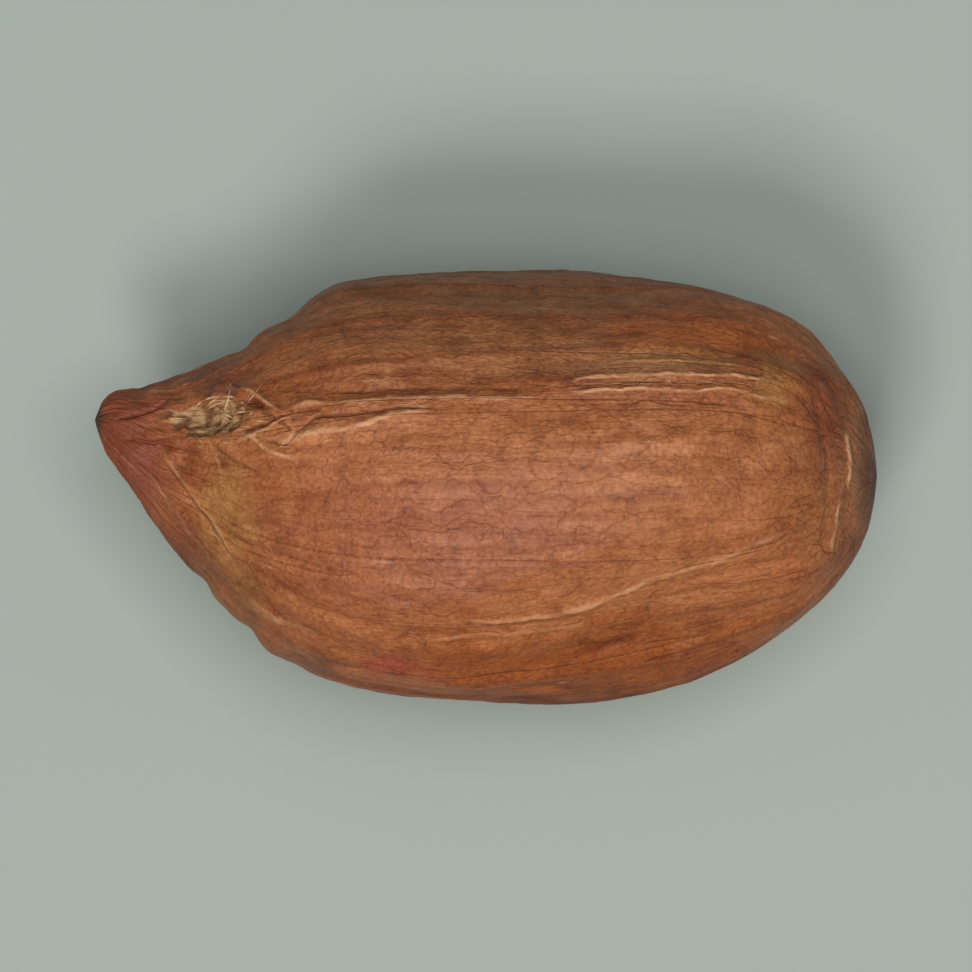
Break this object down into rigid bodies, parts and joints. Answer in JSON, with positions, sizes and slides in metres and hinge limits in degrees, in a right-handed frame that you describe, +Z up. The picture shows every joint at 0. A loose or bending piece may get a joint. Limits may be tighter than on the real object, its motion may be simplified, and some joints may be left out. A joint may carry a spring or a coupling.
{
  "type": "peanut kernel",
  "caption": "Shelled peanut kernel in its papery skin, plump with a blunt end and a pointed beak beside the hilum, lying on its side.",
  "frame": {"origin": "centre of the underside of the bounding box, at the height of the flat spot it rests on", "axes": "+Z up from the flat spot, +X along the kernel from the beak to the blunt end, +Y towards the flank nearest the raphe"},
  "size_m": [0.0158, 0.0088, 0.008],
  "materials": {
    "skin": null
  },
  "bodies": {
    "root": {"kernel": "skin"}
  },
  "joints": []
}
